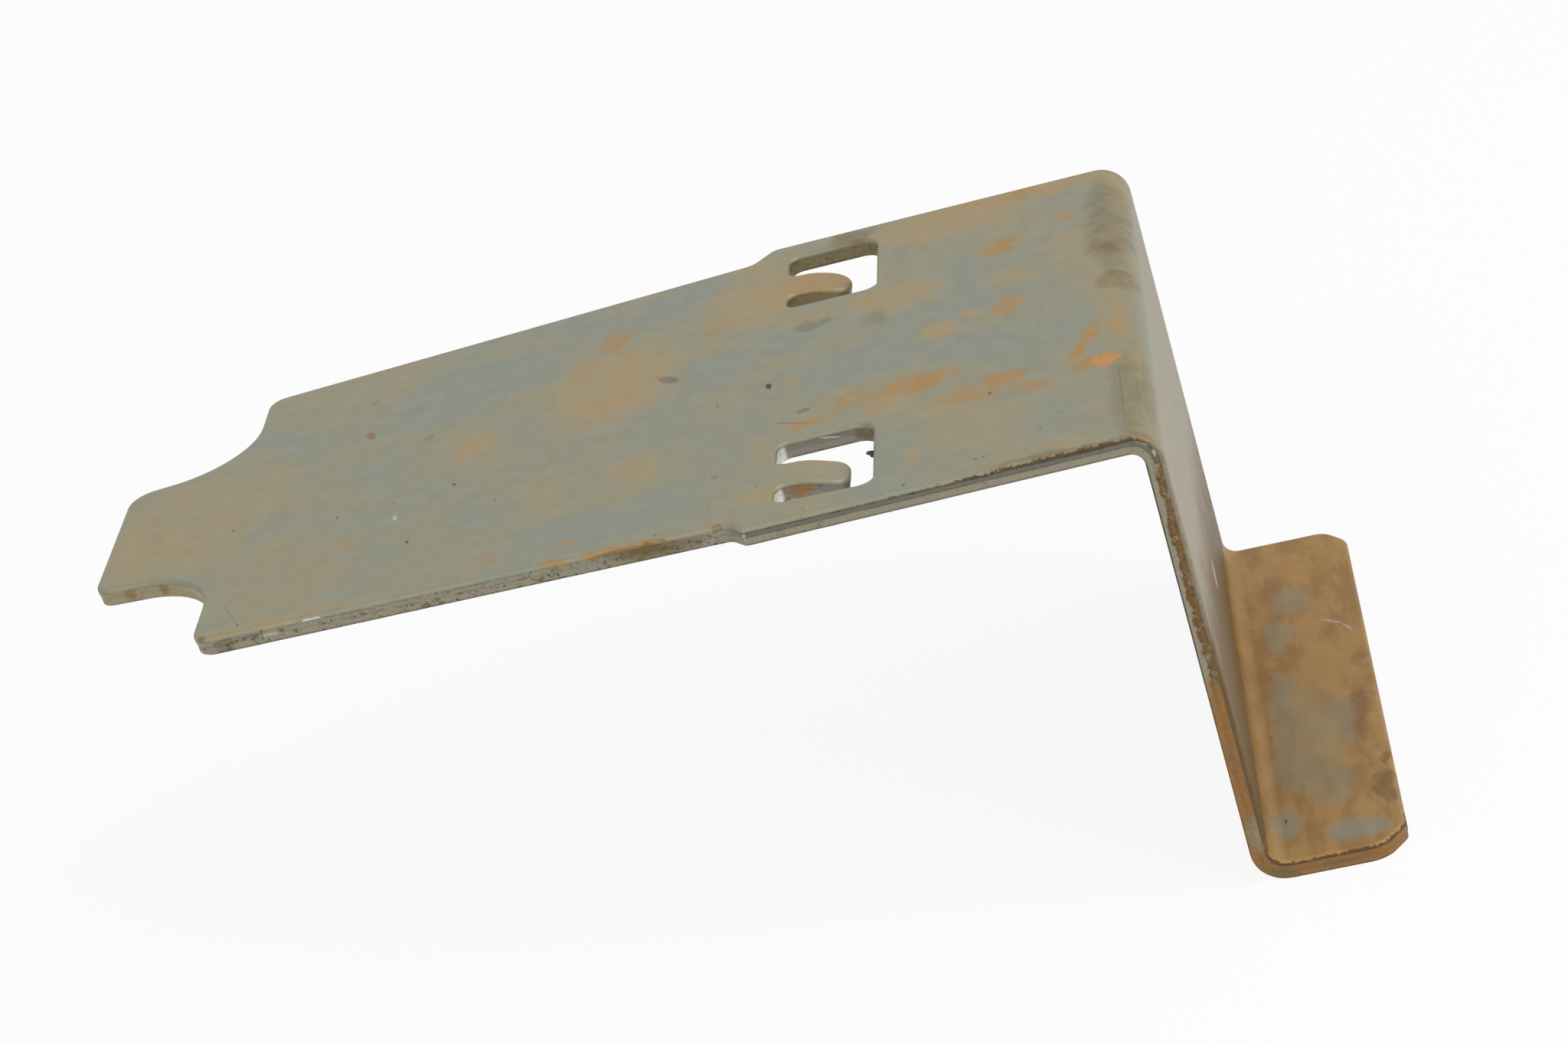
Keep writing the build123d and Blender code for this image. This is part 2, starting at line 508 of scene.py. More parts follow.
# Finish. Hues are picked on screen; marks are placed in the sheet's frame.
hues = {
    "grey": (143, 139, 115),
    "blue": (134, 138, 125),
    "film": (151, 139, 106),
    "tan": (158, 139, 100),
    "orange": (166, 125, 62),
    "bright": (192, 132, 66),
    "olive": (108, 98, 66),
    "brown": (104, 76, 42),
    "dark": (56, 49, 38),
    "crust": (76, 56, 32),
    "spot": (130, 100, 56),
    "tongueWall": (158, 144, 112),
    # painted highlight: the round ends of the near slot, near white where they catch the light
    "slotEndHighlight": (236, 236, 230),
    "mist": (138, 134, 110),
    # pale spots and painted highlights: glints on the rolled rim, on the outer fold's near end and on the
    # crumbs
    "paleAndHighlight": (205, 200, 184),
    "fold": (144, 131, 98),
    "foot": (166, 130, 78),
    # darker streaks of the foot, also used as painted shade along the fold between web and foot
    "footDeepAndCreaseShade": (148, 112, 62),
    "web": (152, 142, 124),
    "webLow": (102, 78, 38),
    # the smooth sheared band: its own blue-grey, painted darker as a painted reflection of darker
    # surroundings
    "shearGreyAndReflection": (110, 108, 96),
    "tear": (148, 141, 122),
    "stone": (142, 134, 108),
    "wallOrange": (150, 106, 54),
    "farWindow": (126, 113, 80),
    "nearWindow": (130, 131, 118),
    "pitted": (150, 143, 123),
    "rust": (116, 86, 46),
}

colour = {name: paint(*value) for name, value in hues.items()}

# Marks: hue, place, half sizes, turn about the height in degrees, strength
softMarks = [
    ("blue", (-37.0, 8.0, 0), (6.5, 4.0), 10, 0.8),
    ("blue", (-30.0, -13.0, 0), (4.5, 2.2), 0, 0.8),
    ("blue", (-25.5, -12.8, 0), (3.0, 2.4), 0, 0.7),
    ("blue", (-23.5, 2.0, 0), (3.2, 2.6), 30, 0.7),
    ("blue", (-15.5, -1.2, 0), (6.5, 2.6), 8, 0.9),
    ("blue", (-8.5, -2.4, 0), (4.5, 2.4), -10, 0.8),
    ("blue", (-9.6, 7.6, 0), (1.5, 3.2), 0, 0.8),
    ("blue", (-13.2, 12.4, 0), (1.2, 2.2), 0, 0.6),
    ("blue", (-43.5, -6.0, 0), (3.0, 2.5), 0, 0.4),
    ("blue", (-4.6, -13.2, 0), (3.0, 2.8), 0, 0.5),
    ("orange", (-28.0, -16.35, 0), (4.0, 0.42), -2, 0.7),
    ("rust", (-25.6, -16.7, 0), (1.7, 0.30), 0, 0.6),
    ("tan", (-45.5, -15.0, 0), (6.0, 0.6), -2, 0.6),
    ("tan", (-20.0, -9.4, 0), (1.0, 1.2), 0, 0.6),
    ("tan", (-20.1, -14.3, 0), (1.0, 1.2), 0, 0.6),
    ("tan", (-17.0, -12.0, -0.3), (2.2, 1.6), 0, 0.4),
    ("orange", (-16.8, 11.8, -0.3), (2.2, 1.3), 0, 0.6),
    ("olive", (-15.2, 11.2, -0.8), (0.9, 1.4), 0, 0.6),
    ("tan", (-2.6, 7.0, 0), (2.6, 4.0), 0, 0.35),
    ("tan", (-9.0, -12.0, 0), (3.6, 3.0), 0, 0.35),
    ("tan", (-48.2, 2.8, 0), (2.0, 2.2), 20, 0.35),
    ("tan", (-47.0, -0.8, 0), (2.2, 1.2), 0, 0.3),
    ("tan", (-54.5, -3.0, 0), (3.2, 3.8), 0, 0.35),
    ("tan", (-51.0, -5.5, 0), (3.0, 2.6), 0, 0.3),
    ("tan", (-36.4, 0.4, 0), (1.6, 2.0), 0, 0.75),
    ("orange", (-36.7, 0.4, 0), (0.8, 1.1), 0, 0.3),
    ("tan", (-28.7, 3.4, 0), (4.4, 5.6), -8, 0.8),
    ("tan", (-30.6, 6.4, 0), (1.5, 2.2), 0, 0.5),
    ("orange", (-29.4, 1.9, 0), (1.5, 0.9), -24, 0.75),
    ("orange", (-29.3, 9.5, 0), (1.0, 1.5), 0, 0.5),
    ("orange", (-31.0, 6.8, 0), (0.6, 1.3), 0, 0.35),
    ("orange", (-23.3, 8.0, 0), (0.9, 1.6), 0, 0.4),
    ("tan", (-21.4, 10.6, 0), (3.6, 4.2), 0, 0.75),
    ("orange", (-18.3, 11.4, 0), (3.2, 1.9), 0, 0.6),
    ("tan", (-21.2, 15.4, 0), (1.6, 1.4), 0, 0.5),
    ("olive", (-15.7, 15.9, 0), (1.5, 1.7), 0, 0.55),
    ("olive", (-18.0, 5.4, 0), (1.3, 0.8), 0, 0.4),
    ("tan", (-18.0, 6.6, 0), (2.8, 1.2), 0, 0.5),
    ("tan", (-13.3, 6.6, 0), (3.4, 2.2), 0, 0.75),
    ("olive", (-14.2, 4.3, 0), (1.0, 0.9), 0, 0.25),
    ("tan", (-11.0, 7.0, 0), (1.3, 1.3), 0, 0.5),
    ("orange", (-7.3, 9.8, 0), (1.4, 1.5), 0, 0.7),
    ("tan", (-10.2, 15.2, 0), (5.4, 2.8), 0, 0.8),
    ("orange", (-7.0, 16.6, 0), (5.4, 1.3), 0, 0.6),
    ("tan", (-3.0, 16.4, 0), (3.2, 1.6), 0, 0.6),
    ("tan", (-8.6, 13.4, 0), (2.2, 1.4), 0, 0.4),
    ("orange", (-3.7, 12.1, 0), (0.55, 0.9), 0, 0.6),
    ("orange", (-7.1, 1.8, 0), (0.95, 1.3), 0, 0.6),
    ("tan", (-9.0, 1.8, 0), (0.9, 1.0), 0, 0.7),
    ("tan", (-10.7, 0.8, 0), (1.1, 1.3), 10, 0.8),
    ("tan", (-6.6, 5.2, 0), (1.6, 2.0), 0, 0.35),
    ("tan", (-18.9, -1.5, 0), (0.7, 1.4), -20, 0.6),
    ("orange", (-17.7, -7.0, 0), (1.8, 0.6), 4, 0.55),
    ("orange", (-15.4, -5.4, 0), (1.2, 0.9), 20, 0.45),
    ("orange", (-12.3, -5.5, 0), (3.2, 1.3), 14, 0.7),
    ("orange", (-10.6, -5.0, 0), (1.3, 1.0), 20, 0.4),
    ("tan", (-13.6, -7.2, 0), (1.7, 1.4), 0, 0.7),
    ("orange", (-7.4, -7.6, 0), (1.7, 1.5), -30, 0.65),
    ("orange", (-9.4, -8.4, 0), (2.2, 1.2), 0, 0.45),
    ("orange", (-6.2, -9.0, 0), (1.1, 1.0), 0, 0.5),
    ("tan", (-11.2, -9.0, 0), (1.4, 0.8), 0, 0.5),
    ("orange", (-3.1, -5.4, 0), (0.55, 3.6), -15, 0.7),
    ("orange", (-2.9, -8.2, 0), (1.4, 0.9), 0, 0.6),
    ("bright", (-2.05, -8.1, 0), (0.75, 1.0), 0, 0.85),
    ("orange", (-1.6, -3.8, 0), (0.5, 1.4), 0, 0.7),
    ("brown", (-1.1, 1.9, 0), (1.1, 1.4), 0, 0.4),
    ("tan", (-1.8, -1.5, 0), (1.0, 5.0), 0, 0.55),
    ("tan", (-0.8, 14.0, 0), (0.8, 4.0), 0, 0.6),
    ("tan", (-12.5, -13.8, 0), (0.4, 1.3), 0, 0.6),
    ("tan", (-10.7, -13.0, 0), (0.5, 1.7), 0, 0.5),
    ("tan", (-26.9, -7.2, 0), (1.4, 2.6), 0, 0.6),
    ("orange", (-38.5, -6.0, 0), (0.7, 0.8), 0, 0.3),
    ("orange", (-42.8, -8.3, 0), (0.5, 0.9), 10, 0.4),
    ("orange", (-37.0, -10.5, 0), (0.6, 0.25), -35, 0.3),
    ("orange", (-30.3, -14.4, 0), (0.7, 0.45), 0, 0.6),
    ("orange", (-34.4, -14.3, 0), (0.3, 0.7), 10, 0.3),
    ("tan", (-4.4, -16.4, 0), (1.8, 0.7), 0, 0.6),
    ("tan", (-2.8, -13.3, 0), (0.9, 0.9), 0, 0.4),
    ("mist", (3.4, 9.8, -25.5), (1.3, 1.7), 0, 0.5),
    ("mist", (2.2, 5.9, -25.5), (1.0, 2.2), 0, 0.5),
    ("mist", (1.9, -0.8, -25.5), (1.2, 3.4), 0, 0.5),
    ("mist", (4.4, -4.3, -25.5), (1.6, 3.0), 8, 0.5),
    ("mist", (1.7, -8.4, -25.5), (1.3, 3.4), 0, 0.55),
    ("mist", (3.6, -10.6, -25.5), (1.5, 2.8), 0, 0.5),
    ("mist", (1.1, -13.9, -25.5), (1.2, 2.0), 0, 0.8),
    ("blue", (4.6, -15.6, -25.5), (1.9, 1.4), 0, 0.65),
    ("blue", (1.0, -13.9, -25.5), (0.6, 0.9), 0, 0.5),
    ("blue", (1.9, -1.2, -25.5), (0.5, 1.3), 0, 0.4),
    ("mist", (2.6, -6.0, -25.5), (2.2, 6.5), 0, 0.45),
    ("film", (-53.0, -1.0, 0), (5.5, 8.0), 0, 0.8),
    ("film", (-45.5, -10.0, 0), (5.0, 5.5), 0, 0.5),
    ("brown", (0.6, 2.4, -25.5), (0.8, 1.9), 0, 0.45),
    ("brown", (0.2, -1.4, -25.5), (0.45, 1.0), 0, 0.6),
    ("brown", (5.9, -4.4, -25.5), (1.0, 3.2), 0, 0.4),
    ("brown", (6.3, -11.9, -25.5), (0.7, 1.9), 0, 0.6),
    ("brown", (6.7, -9.3, -25.5), (0.35, 0.7), 0, 0.5),
    ("brown", (6.6, 1.9, -25.5), (0.5, 1.6), 0, 0.3),
    ("orange", (2.9, -6.7, -25.5), (0.6, 2.6), 0, 0.5),
    ("orange", (4.6, 14.2, -25.5), (2.6, 2.4), 0, 0.4),
    ("orange", (5.4, 2.6, -25.5), (1.4, 3.2), 0, 0.4),
    # olive streak on the web's outer face: partly stain, partly a painted reflection seen at a grazing
    # angle
    ("olive", (0.0, 2.4, -14.8), (0.8, 1.6), 0, 0.35),
    ("olive", (-1.3, 9.5, -0.1), (1.5, 7.5), 0, 0.45),
    ("brown", (-1.5, 6.2, -0.1), (0.9, 1.5), 0, 0.4),
    ("dark", (-25.8, 2.9, 0), (0.4, 1.3), 35, 0.4),
    ("olive", (-1.2, -12.6, -0.2), (1.1, 6.0), 0, 0.35),
    ("rust", (-0.7, -17.2, -0.3), (0.9, 0.7), 0, 0.35),
    ("rust", (-4.6, -17.45, 0), (4.4, 0.4), 0, 0.5),
    # painted shade in the crease along the fold between web and foot
    ("footDeepAndCreaseShade", (0.4, 0.0, -25.2), (0.9, 19.0), 0, 0.6),
]
sharpMarks = [
    ("brown", (-27.2, -16.42, 0), (2.2, 0.14), -2, 0.55),
    # painted highlights: pale glints along the rolled rim of the near edge
    ("paleAndHighlight", (-26.3, -16.62, -0.1), (1.1, 0.11), -2, 0.9),
    ("paleAndHighlight", (-43.6, -15.70, -0.1), (0.7, 0.10), -2, 0.8),
    ("brown", (-49.6, -15.15, 0), (0.4, 0.18), 0, 0.50),
    ("spot", (-22.2, -16.55, 0), (0.3, 0.25), 0, 0.60),
    ("dark", (-14.5, -11.75, -0.5), (0.45, 0.45), 0, 0.8),
    ("spot", (-42.9, 5.05, 0), (0.26, 0.62), 22, 0.8),
    ("olive", (-39.3, 2.9, 0), (0.3, 0.45), -20, 0.35),
    ("olive", (-43.2, 9.5, 0), (0.3, 0.35), 0, 0.25),
    ("orange", (-31.8, -3.6, 0), (0.22, 0.35), 0, 0.6),
    ("paleAndHighlight", (-40.15, -6.4, 0), (0.13, 0.34), 10, 0.5),
    ("dark", (-37.15, -4.0, 0), (0.09, 0.25), 18, 0.7),
    ("dark", (-39.1, -9.7, 0), (0.10, 0.22), 20, 0.8),
    ("dark", (-43.6, -4.6, 0), (0.07, 0.22), 10, 0.5),
    ("dark", (-49.6, -3.1, 0), (0.06, 0.25), 10, 0.5),
    ("dark", (-34.6, -7.2, 0), (0.07, 0.15), 0, 0.5),
    ("dark", (-40.4, -4.6, 0), (0.06, 0.25), 15, 0.4),
    ("dark", (-20.05, -1.3, 0), (0.17, 0.40), 12, 0.95),
    ("olive", (-18.05, -5.4, 0), (0.45, 0.28), 20, 0.6),
    ("olive", (-22.8, -2.2, 0), (0.12, 0.3), 10, 0.5),
    ("brown", (-8.2, -8.75, 0), (0.13, 0.18), 0, 0.9),
    ("olive", (-22.6, -10.9, 0), (0.22, 0.22), 0, 0.4),
    ("brown", (-18.4, -6.75, 0), (0.035, 1.25), 62, 0.75),
    ("brown", (-19.4, -6.2, 0), (0.03, 0.55), 66, 0.6),
    ("brown", (-48.2, -13.2, 0), (0.035, 1.9), 24, 0.35),
    ("dark", (-47.55, -14.7, 0), (0.06, 0.22), 15, 0.6),
    ("dark", (-1.55, -12.6, 0), (0.035, 3.4), 0, 0.3),
    ("dark", (-0.75, -12.0, -0.3), (0.05, 2.2), 2, 0.12),
    ("brown", (-0.3, -11.5, -0.7), (0.30, 4.5), 0, 0.2),
    ("brown", (-9.05, -16.0, 0), (0.14, 0.10), 0, 0.7),
    ("brown", (-8.65, -15.9, 0), (0.09, 0.12), 0, 0.6),
    ("dark", (-5.75, -14.35, 0), (0.07, 0.09), 0, 0.7),
    ("dark", (-20.3, -13.1, 0), (0.06, 0.10), 0, 0.6),
    ("dark", (-22.8, -14.3, 0), (0.05, 0.12), 0, 0.6),
    ("dark", (-12.7, -16.95, 0), (0.09, 0.16), 0, 0.6),
    ("dark", (-17.8, -16.9, 0), (0.09, 0.07), 0, 0.6),
    ("dark", (-25.4, -15.9, 0), (0.09, 0.06), 0, 0.7),
    ("dark", (-29.2, -14.5, 0), (0.05, 0.08), 0, 0.6),
    ("paleAndHighlight", (5.3, 6.6, -25.5), (0.14, 0.75), 50, 0.3),
    ("paleAndHighlight", (6.1, 5.6, -25.5), (0.12, 0.60), 25, 0.3),
    # pale and olive spots on the web's outer face: partly painted reflections, partly scuff and stain
    ("paleAndHighlight", (0.0, -0.4, -17.3), (0.6, 1.1), 0, 0.55),
    ("olive", (0.0, 1.8, -14.6), (0.5, 0.9), 0, 0.5),
    ("olive", (0.0, 0.6, -15.6), (0.5, 1.2), 0, 0.6),
    ("olive", (0.0, -1.2, -16.1), (0.5, 0.8), 0, 0.4),
    ("dark", (1.0, -13.6, -25.5), (0.07, 0.25), 0, 0.7),
]

# On the cut edges a mark's place is along, up, across
wallMarks = [
    ("olive", (-25.8, -0.50, -16.8), (3.4, 0.70), 0, 0.85),
    ("rust", (-26.2, -0.35, -16.8), (1.6, 0.30), 0, 0.8),
    ("brown", (-9.5, -0.22, -17.5), (4.0, 0.15), 0, 0.7),
    ("brown", (-3.4, -0.20, -17.5), (2.9, 0.16), 0, 0.9),
    ("brown", (-15.0, -0.15, -17.5), (2.2, 0.08), 0, 0.6),
    ("paleAndHighlight", (-20.9, -0.35, -17.3), (0.12, 0.45), 0, 0.6),
    ("spot", (-55.0, -0.50, -7.0), (0.45, 0.50), 0, 0.6),
    ("spot", (-53.0, -0.50, -7.0), (0.35, 0.50), 0, 0.7),
    # painted highlights where the near end of the outer fold catches the light
    ("paleAndHighlight", (-0.80, -0.55, -17.5), (0.75, 0.13), -32, 0.9),
    ("paleAndHighlight", (-0.42, -1.10, -17.5), (0.13, 0.35), 0, 0.6),
    ("wallOrange", (-18.1, -0.55, -13.4), (0.9, 0.50), 0, 0.75),
    ("olive", (-14.75, -0.50, -8.6), (0.8, 0.70), 0, 0.8),
    ("spot", (-14.6, -0.35, -8.6), (0.5, 0.40), 0, 0.5),
    ("paleAndHighlight", (-16.7, -0.36, -8.6), (0.75, 0.07), -14, 0.8),
    ("olive", (-15.4, -0.90, -13.4), (0.5, 0.7), 0, 0.7),
    ("olive", (-48.3, -0.50, -15.5), (0.7, 0.60), 0, 0.6),
    ("dark", (-46.8, -0.40, -15.5), (0.9, 0.10), 0, 0.5),
    ("paleAndHighlight", (-45.9, -0.55, -15.5), (0.9, 0.10), 0, 0.6),
    ("mist", (-0.4, -23.4, -17.5), (0.6, 1.3), 0, 0.7),
    ("olive", (0.2, -26.1, -17.5), (1.3, 0.7), 0, 0.7),
    ("olive", (3.4, -26.1, -17.5), (1.2, 0.25), 0, 0.5),
]

# how steeply the marks of each kind fall off, and their half size in height
markFall = {"soft": (1.45, 2.6), "sharp": (3.0, 0.8), "wall": (1.25, 1.0)}


def onVector(tree, operation, first, second, output="Vector"):
    node = tree.nodes.new("ShaderNodeVectorMath")
    node.operation = operation
    feed(tree, node.inputs[0], first)
    feed(tree, node.inputs[1], second)
    return node.outputs[output]


def markMasks(tree, place, marks, gain, height):
    # the strongest mark of each hue at each point: a mark has its full strength in
    # the middle and falls to 0 at its half sizes
    turnedPlaces, masks = {0: place}, {}
    for hue, centre, halves, turn, strength in marks:
        if turn not in turnedPlaces:
            spin = tree.nodes.new("ShaderNodeVectorRotate")
            spin.rotation_type = "Z_AXIS"
            tree.links.new(place, spin.inputs["Vector"])
            spin.inputs["Angle"].default_value = math.radians(-turn)
            turnedPlaces[turn] = spin.outputs[0]
        side, ahead = math.cos(math.radians(turn)), math.sin(math.radians(turn))
        middle = (centre[0] * side + centre[1] * ahead, centre[1] * side - centre[0] * ahead, centre[2])
        away = tree.nodes.new("ShaderNodeVectorMath")
        away.operation = "MULTIPLY_ADD"
        tree.links.new(turnedPlaces[turn], away.inputs[0])
        away.inputs[1].default_value = (1 / halves[0], 1 / halves[1], 1 / height)
        away.inputs[2].default_value = (-middle[0] / halves[0], -middle[1] / halves[1], -middle[2] / height)
        square = onVector(tree, "DOT_PRODUCT", away.outputs[0], away.outputs[0], "Value")
        fall = tree.nodes.new("ShaderNodeMath")
        fall.operation = "MULTIPLY_ADD"
        tree.links.new(square, fall.inputs[0])
        fall.inputs[1].default_value = -gain * strength
        fall.inputs[2].default_value = gain * strength
        mask = reckon(tree, "MINIMUM", fall.outputs[0], strength)
        masks[hue] = reckon(tree, "MAXIMUM", masks.get(hue, 0.0), mask)
    return masks


def warped(tree, place, scale, reach):
    # the same place, pushed about by noise
    push = grain(tree, place, scale, 3.0, 0.6, "Color")
    moved = tree.nodes.new("ShaderNodeVectorMath")
    moved.operation = "MULTIPLY_ADD"
    tree.links.new(onVector(tree, "SUBTRACT", push, (0.5, 0.5, 0.5)), moved.inputs[0])
    moved.inputs[1].default_value = (reach, reach, reach * 0.3)
    tree.links.new(place, moved.inputs[2])
    return moved.outputs[0]


def fact(tree, name):
    node = tree.nodes.new("ShaderNodeAttribute")
    node.attribute_name = name
    return node.outputs["Fac"]


def startMaterial(material):
    material.use_nodes = True
    tree = material.node_tree
    tree.nodes.clear()
    shader = tree.nodes.new("ShaderNodeBsdfPrincipled")
    out = tree.nodes.new("ShaderNodeOutputMaterial")
    tree.links.new(shader.outputs[0], out.inputs["Surface"])
    coordinates = tree.nodes.new("ShaderNodeTexCoord")
    place = tree.nodes.new("ShaderNodeMapping")
    tree.links.new(coordinates.outputs["Object"], place.inputs["Vector"])
    place.inputs["Scale"].default_value = (1000, 1000, 1000)
    place.inputs["Rotation"].default_value = (0, math.radians(sheetFrame["turn"]), 0)
    place.inputs["Location"].default_value = sheetFrame["seat"]
    return tree, shader, place.outputs[0]


def axes(tree, place):
    node = tree.nodes.new("ShaderNodeSeparateXYZ")
    tree.links.new(place, node.inputs[0])
    return node.outputs


def bump(tree, shader, height, distance):
    node = tree.nodes.new("ShaderNodeBump")
    node.inputs["Strength"].default_value = 1.0
    node.inputs["Distance"].default_value = distance
    tree.links.new(height, node.inputs["Height"])
    tree.links.new(node.outputs[0], shader.inputs["Normal"])


def times(tree, first, *others):
    # product of all the values
    for value in others:
        first = reckon(tree, "MULTIPLY", first, value)
    return first


def shaken(tree, value, pattern, reach):
    # a value pushed to and fro by a noise pattern
    push = times(tree, reckon(tree, "SUBTRACT", pattern, 0.5), reach)
    return reckon(tree, "ADD", value, push)


def line(tree, value, middle, outer, inner):
    # 1 within the inner distance of a middle value, 0 past the outer one
    away = reckon(tree, "ABSOLUTE", reckon(tree, "SUBTRACT", value, middle))
    return ramp(tree, away, outer, inner)


def shaded(tree, base, shade):
    node = tree.nodes.new("ShaderNodeVectorMath")
    node.operation = "SCALE"
    tree.links.new(base, node.inputs[0])
    tree.links.new(shade, node.inputs["Scale"])
    return node.outputs[0]


def cells(tree, place, scale):
    # distance from the nearest of some scattered points, and a number for each of them
    node = tree.nodes.new("ShaderNodeTexVoronoi")
    tree.links.new(place, node.inputs["Vector"])
    node.inputs["Scale"].default_value = scale
    return node.outputs["Distance"], axes(tree, node.outputs["Color"])[0]


def finishShader(tree, shader, base, rough, height, setup):
    tree.links.new(base, shader.inputs["Base Color"])
    shader.inputs["Metallic"].default_value = setup["metallic"]
    shader.inputs["Specular IOR Level"].default_value = setup["specular"]
    tree.links.new(rough, shader.inputs["Roughness"])
    bump(tree, shader, height, setup["bump"])


# Faces of the sheet. A pair of places is where a tint starts and where it is full.
faceFinish = {
    "metallic": 0.35,
    "specular": 0.35,
    "roughness": (0.48, 0.56),
    "bump": 0.0000015,
    "film": 0.45,                   # strongest share of each tint
    "web": 0.8,
    "webLow": 0.92,
    "foot": 0.96,
    "rimDirt": 0.9,
    "specks": 0.55,
    "webUp": (-0.8, -2.2),
    "webLowUp": (-8.0, -15.0),
    "webLowSway": 6.0,              # how far its upper limit wanders
    "webLowSlope": 0.16,            # how much higher it lies towards the near side
    "webOuter": (-0.45, -0.15),
    "foldAlong": (-1.75, -1.25),
    "foldUp": (-1.0, -0.4),
    "footUp": (-23.6, -24.7),
    "nearRim": (-14.6, -15.2),
    "patches": (0.7, 1.25),         # soft marks weaken and strengthen between these
    "mottle": (0.96, 1.04),
}


def zincBase(tree, place, setup):
    # slow drift between warm and cool grey, with a thin tan film over part of it
    drift = grain(tree, stretched(tree, place, (0.8, 1.2, 1.0)), 0.11, 4.0, 0.55)
    base = blendColour(tree, ramp(tree, drift, 0.40, 0.64), colour["grey"], colour["blue"])
    film = ramp(tree, grain(tree, place, 0.30, 3.0, 0.55), 0.46, 0.70, 0.0, setup["film"])
    return blendColour(tree, film, base, colour["film"])


def tintWeb(tree, place, base, setup):
    # web paler than the plate, brown towards the foot, and the outer fold between them
    x, y, z = axes(tree, place)
    onWeb = ramp(tree, z, *setup["webUp"])
    base = blendColour(tree, times(tree, onWeb, setup["web"]), base, colour["web"])
    sway = times(tree, grain(tree, place, 0.35, 3.0, 0.6), setup["webLowSway"])
    drop = reckon(tree, "ADD", reckon(tree, "ADD", z, sway), times(tree, y, setup["webLowSlope"]))
    webLow = times(tree, ramp(tree, drop, *setup["webLowUp"]), setup["webLow"])
    base = blendColour(tree, webLow, base, colour["webLow"])
    onFold = times(tree, ramp(tree, x, *setup["foldAlong"]), ramp(tree, z, *setup["foldUp"]))
    foldGrain = grain(tree, stretched(tree, place, (2.0, 0.5, 1)), 0.8, 3.0, 0.6)
    onFold = times(tree, onFold, ramp(tree, foldGrain, 0.3, 0.65, 0.4, 0.9))
    return blendColour(tree, onFold, base, colour["fold"])


def tintFoot(tree, place, base, onFoot, setup):
    # foot's upper face brown all over, in streaks across
    streaks = grain(tree, stretched(tree, place, (1.3, 0.45, 1)), 0.6, 5.0, 0.6)
    tint = blendColour(tree, ramp(tree, streaks, 0.42, 0.62), colour["foot"], colour["footDeepAndCreaseShade"])
    return blendColour(tree, times(tree, onFoot, setup["foot"]), base, tint)


def addFaceMarks(tree, place, base, setup):
    patchy = ramp(tree, grain(tree, place, 0.9, 3.0, 0.6), 0.30, 0.64, *setup["patches"])
    softPlace = warped(tree, warped(tree, place, 0.40, 2.2), 1.6, 0.65)
    for hue, mask in markMasks(tree, softPlace, softMarks, *markFall["soft"]).items():
        mask = reckon(tree, "MULTIPLY", mask, patchy, clamp=True)
        base = blendColour(tree, mask, base, colour[hue])
    sharpPlace = warped(tree, place, 2.5, 0.12)
    for hue, mask in markMasks(tree, sharpPlace, sharpMarks, *markFall["sharp"]).items():
        base = blendColour(tree, mask, base, colour[hue])
    return base


def addRimDirt(tree, place, base, onFoot, setup):
    # ragged dirt along the rolled rim of the near edges, more of it towards the fold
    x, y, _ = axes(tree, place)
    depth = fact(tree, "depth")
    ragged = grain(tree, place, 3.4, 6.0, 0.8)
    heavy = ramp(tree, x, -18.0, -4.0, -0.10, 0.16)
    reached = reckon(tree, "ADD", reckon(tree, "ADD", depth, ragged), heavy)
    rolled = times(tree, ramp(tree, reached, 0.70, 0.80), ramp(tree, depth, 0.02, 0.08))
    spare = reckon(tree, "MAXIMUM", ramp(tree, x, -1.5, 0.0, 1.0, 0.35), onFoot)
    rolled = times(tree, rolled, spare, ramp(tree, y, *setup["nearRim"]))
    upperHalf = ramp(tree, depth, 0.5, 0.7, setup["rimDirt"], 0.0)
    return blendColour(tree, times(tree, rolled, upperHalf), base, colour["crust"])


def addSpecks(tree, place, base, setup):
    distance, chance = cells(tree, warped(tree, place, 3.0, 0.2), 0.85)
    speck = ramp(tree, distance, 0.065, 0.035)
    speck = times(tree, speck, ramp(tree, chance, 0.70, 0.9, 0.0, setup["specks"]))
    return blendColour(tree, speck, base, colour["dark"])


def tintBits(tree, base):
    # crumbs painted paler than the sheet as painted highlights, burrs dark with dirt
    bright = fact(tree, "bright")
    base = blendColour(tree, reckon(tree, "MAXIMUM", bright, 0.0), base, colour["paleAndHighlight"])
    dark = reckon(tree, "MULTIPLY", bright, -1.0, clamp=True)
    return blendColour(tree, dark, base, colour["crust"])


def finishFaces(material, setup):
    tree, shader, place = startMaterial(material)
    x, _, z = axes(tree, place)
    onFoot = times(tree, ramp(tree, z, *setup["footUp"]), ramp(tree, x, *setup["webOuter"]))
    base = zincBase(tree, place, setup)
    base = tintWeb(tree, place, base, setup)
    base = tintFoot(tree, place, base, onFoot, setup)
    base = addFaceMarks(tree, place, base, setup)
    base = addRimDirt(tree, place, base, onFoot, setup)
    base = addSpecks(tree, place, base, setup)
    cloud = ramp(tree, grain(tree, place, 0.8, 3.0, 0.6), 0.25, 0.75, *setup["mottle"])
    tooth = ramp(tree, grain(tree, place, 6.0, 2.0, 0.6), 0.2, 0.8, *setup["mottle"])
    base = tintBits(tree, shaded(tree, base, times(tree, cloud, tooth)))
    rough = ramp(tree, grain(tree, place, 0.9, 3.0, 0.6), 0.3, 0.7, *setup["roughness"])
    finishShader(tree, shader, base, rough, grain(tree, place, 2.2, 3.0, 0.55), setup)


